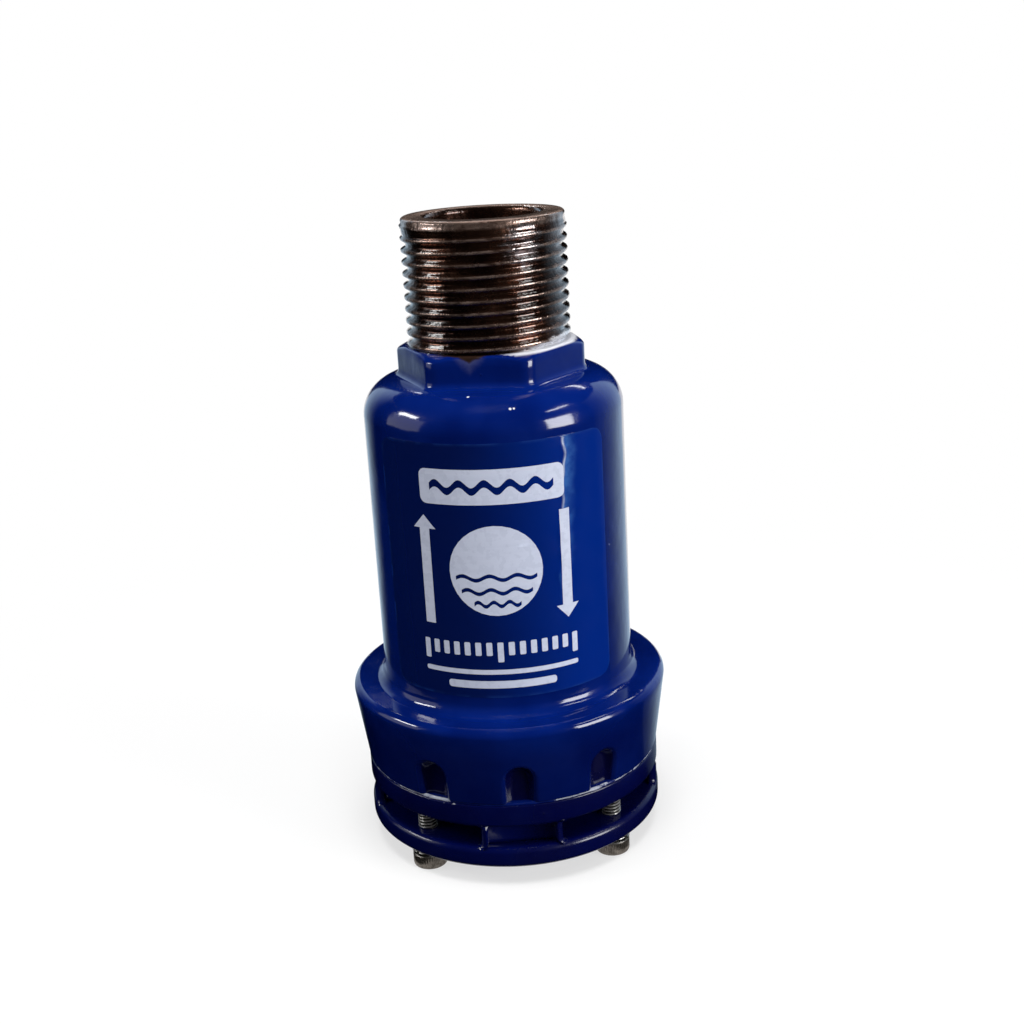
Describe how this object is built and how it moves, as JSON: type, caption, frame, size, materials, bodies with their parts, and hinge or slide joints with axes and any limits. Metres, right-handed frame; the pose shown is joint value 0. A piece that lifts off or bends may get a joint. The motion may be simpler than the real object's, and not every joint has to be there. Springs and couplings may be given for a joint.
{
  "type": "air release valve",
  "caption": "Air release valve for a water pipe: a blue iron body with a threaded inlet and wrench hexagon, a guided float inside, and a screwed cover with side windows that lets the air out.",
  "frame": {"origin": "on the valve's axis, at the height of the cover screws' head faces that it stands on", "axes": "+Z along the axis from the cover towards the threaded inlet; a lug of the cover faces -Y and the cover screws lie at 45 degrees to X and Y"},
  "size_m": [0.0668, 0.0668, 0.1318],
  "materials": {
    "blue_enamel": "glossy blue enamel on cast iron, with slight orange peel",
    "zinc_steel": "zinc plated steel, a little dull",
    "brass": "machined brass",
    "black_rubber": "matt moulded rubber",
    "gasket_fibre": "grey fibre and rubber sheet",
    "white_plastic": "moulded white nylon"
  },
  "bodies": {
    "housing": {"body": "blue_enamel", "cover": "blue_enamel", "cover_gasket": "gasket_fibre", "cover_screw_1": "zinc_steel", "cover_screw_2": "zinc_steel", "cover_screw_3": "zinc_steel", "cover_screw_4": "zinc_steel", "lock_washer_1": "zinc_steel", "lock_washer_2": "zinc_steel", "lock_washer_3": "zinc_steel", "lock_washer_4": "zinc_steel", "seat_ring": "black_rubber", "seat_retainer": "brass", "retainer_screw_1": "brass", "retainer_screw_2": "brass", "retainer_screw_3": "brass", "inlet_baffle": "brass", "guide_bush": "white_plastic", "retaining_ring": "zinc_steel"},
    "float_unit": {"float": "white_plastic", "float_stem": "brass", "stem_washer": "brass", "stem_nut": "brass"}
  },
  "joints": [
    {"name": "float_travel", "type": "slide", "parent": "housing", "child": "float_unit", "axis": [0, 0, 1], "range_m": [0, 0.015]}
  ]
}
